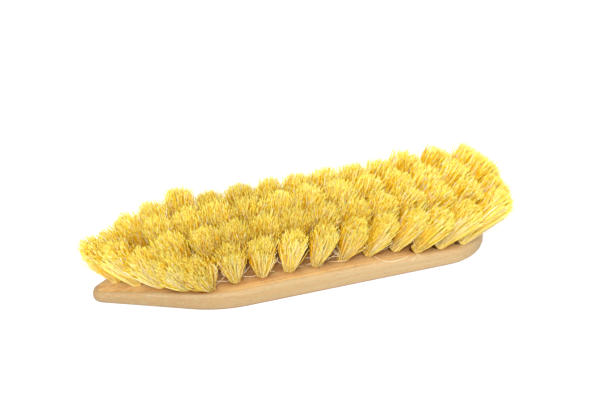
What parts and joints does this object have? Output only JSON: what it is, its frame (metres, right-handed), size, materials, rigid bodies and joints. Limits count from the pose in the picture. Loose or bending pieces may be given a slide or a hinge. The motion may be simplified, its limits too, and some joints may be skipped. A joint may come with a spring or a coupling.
{
  "type": "wooden scrubbing brush",
  "caption": "Flat wooden brush with a pointed nose and a rounded heel, lying on its back, with rows of leaning tufts of stiff yellow plant fibre.",
  "frame": {"origin": "middle of the block's flat back, on the surface that the brush lies on", "axes": "+X along the block from the pointed nose to the rounded heel, +Z out of the bristle face, +Y to the far side"},
  "size_m": [0.23, 0.0724, 0.0346],
  "materials": {
    "beech": "matt, sanded, unvarnished",
    "fibre": "matt plant fibre, dyed or natural yellow"
  },
  "bodies": {
    "root": {"block": "beech", "tuft_nose_01": "fibre", "tuft_nose_02": "fibre", "tuft_nose_03": "fibre", "tuft_nose_04": "fibre", "tuft_nose_05": "fibre", "tuft_nose_06": "fibre", "tuft_nose_07": "fibre", "tuft_nose_08": "fibre", "tuft_nose_09": "fibre", "tuft_near_side_01": "fibre", "tuft_near_side_02": "fibre", "tuft_near_side_03": "fibre", "tuft_near_side_04": "fibre", "tuft_near_side_05": "fibre", "tuft_near_side_06": "fibre", "tuft_near_side_07": "fibre", "tuft_near_heel_01": "fibre", "tuft_near_heel_02": "fibre", "tuft_near_heel_03": "fibre", "tuft_near_inner_01": "fibre", "tuft_near_inner_02": "fibre", "tuft_near_inner_03": "fibre", "tuft_near_inner_04": "fibre", "tuft_near_inner_05": "fibre", "tuft_near_inner_06": "fibre", "tuft_near_inner_07": "fibre", "tuft_near_inner_08": "fibre", "tuft_near_inner_09": "fibre", "tuft_near_inner_10": "fibre", "tuft_near_inner_11": "fibre", "tuft_near_inner_12": "fibre", "tuft_far_inner_01": "fibre", "tuft_far_inner_02": "fibre", "tuft_far_inner_03": "fibre", "tuft_far_inner_04": "fibre", "tuft_far_inner_05": "fibre", "tuft_far_inner_06": "fibre", "tuft_far_inner_07": "fibre", "tuft_far_inner_08": "fibre", "tuft_far_inner_09": "fibre", "tuft_far_inner_10": "fibre", "tuft_far_inner_11": "fibre", "tuft_far_inner_12": "fibre", "tuft_far_side_01": "fibre", "tuft_far_side_02": "fibre", "tuft_far_side_03": "fibre", "tuft_far_side_04": "fibre", "tuft_far_side_05": "fibre", "tuft_far_side_06": "fibre", "tuft_far_side_07": "fibre", "tuft_far_heel_01": "fibre", "tuft_far_heel_02": "fibre", "tuft_far_heel_03": "fibre"}
  },
  "joints": []
}
